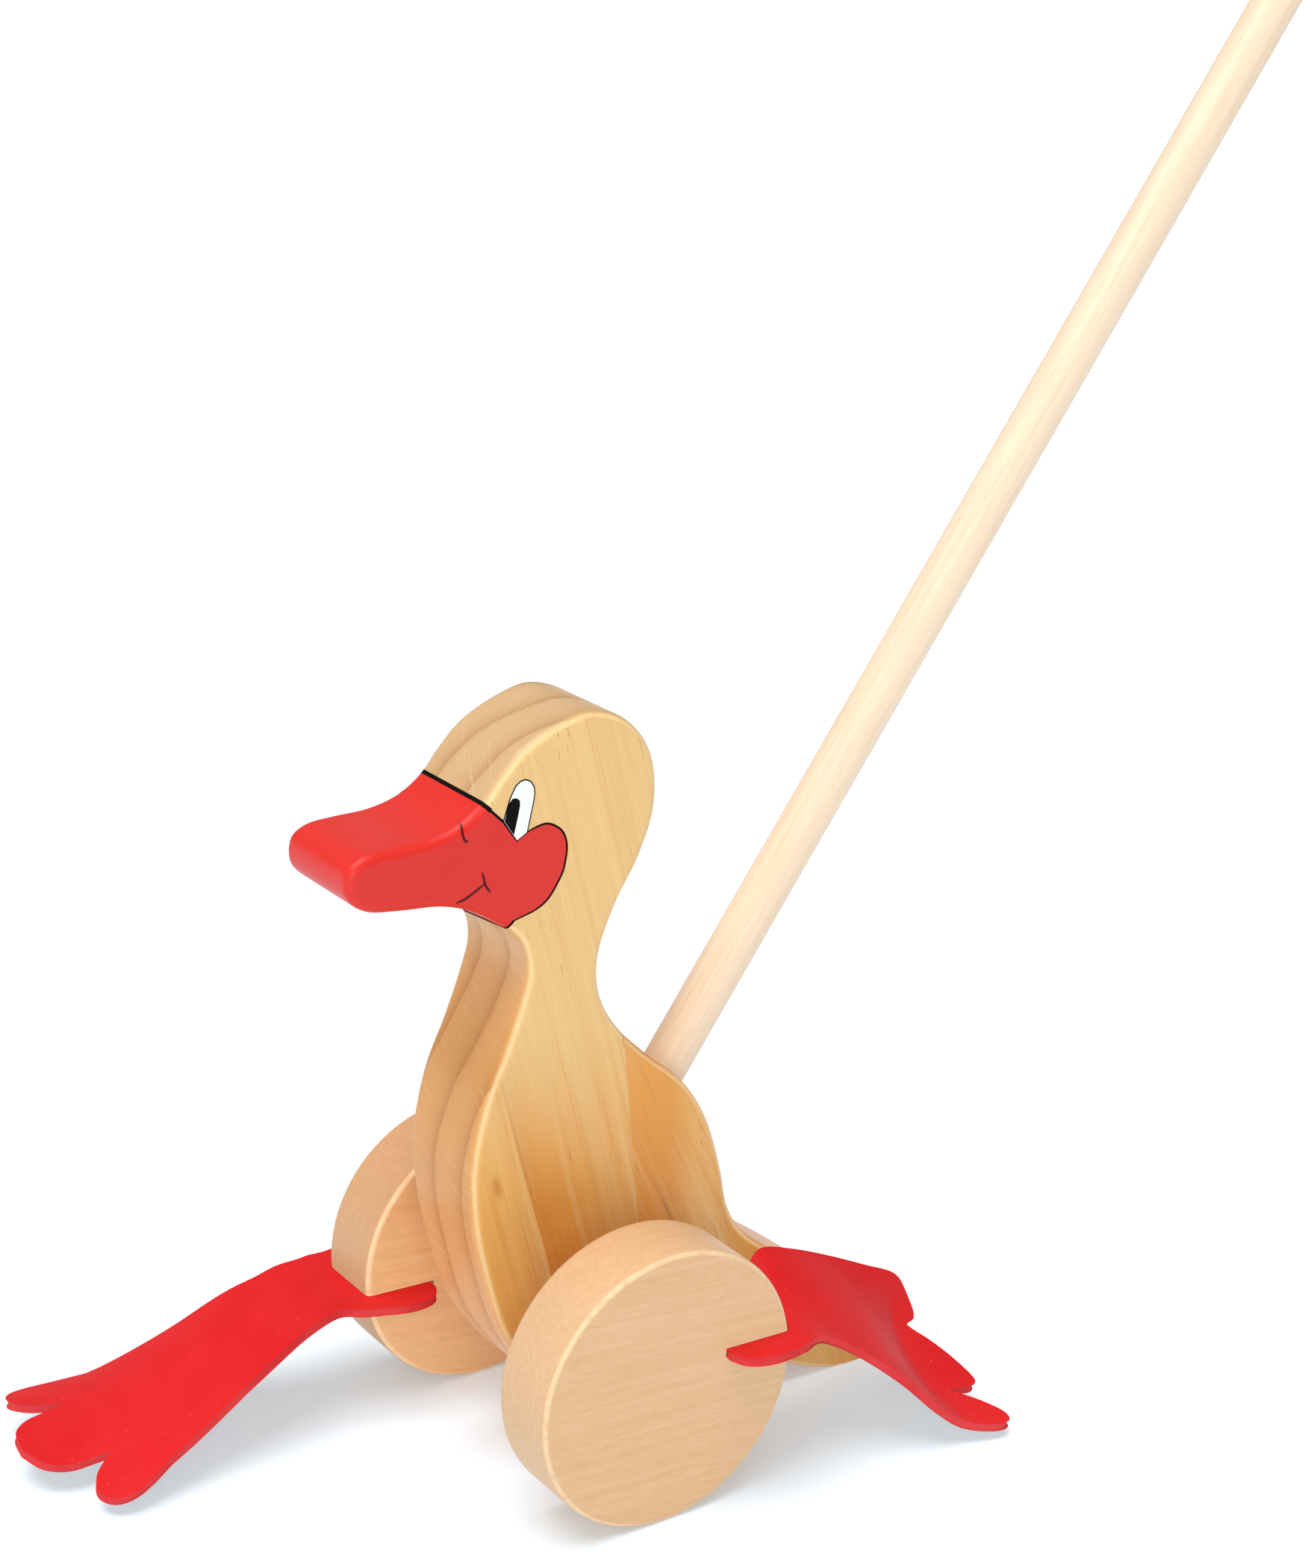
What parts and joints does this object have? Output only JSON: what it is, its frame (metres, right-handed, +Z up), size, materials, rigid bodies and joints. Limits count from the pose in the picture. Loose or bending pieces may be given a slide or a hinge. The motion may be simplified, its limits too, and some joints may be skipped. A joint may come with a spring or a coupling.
{
  "type": "push-along duck toy",
  "caption": "Flat wooden duck on a push stick; slotted wheels on a shared axle carry red rubber webbed feet that slap the floor in turn.",
  "frame": {"origin": "on the floor, straight under the middle of the axle, in the body's middle plane", "axes": "+X forward, the way the bill points; +Y to the duck's left, along the axle; +Z up"},
  "size_m": [0.4478, 0.1346, 0.5023],
  "materials": {
    "body_front": "satin lacquer on pale pine, bill painted red",
    "body_rear": "satin lacquer on pine with orange grain",
    "stick": "smooth pale birch dowel",
    "wheel": "satin lacquer on beech",
    "foot": "soft red sheet rubber"
  },
  "bodies": {
    "body": {"body_front_stave": "body_front", "body_rear_stave": "body_rear", "push_stick": "stick", "handle_ball": "stick"},
    "wheelset": {"axle": "stick", "wheel_left": "wheel", "wheel_right": "wheel", "spacer_left": "stick", "spacer_right": "stick", "foot_left": "foot", "foot_right": "foot"}
  },
  "joints": [
    {"name": "axle_spin", "type": "hinge", "parent": "body", "child": "wheelset", "pos_m": [0, 0, 0.036], "axis": [0, 1, 0], "continuous": true}
  ]
}
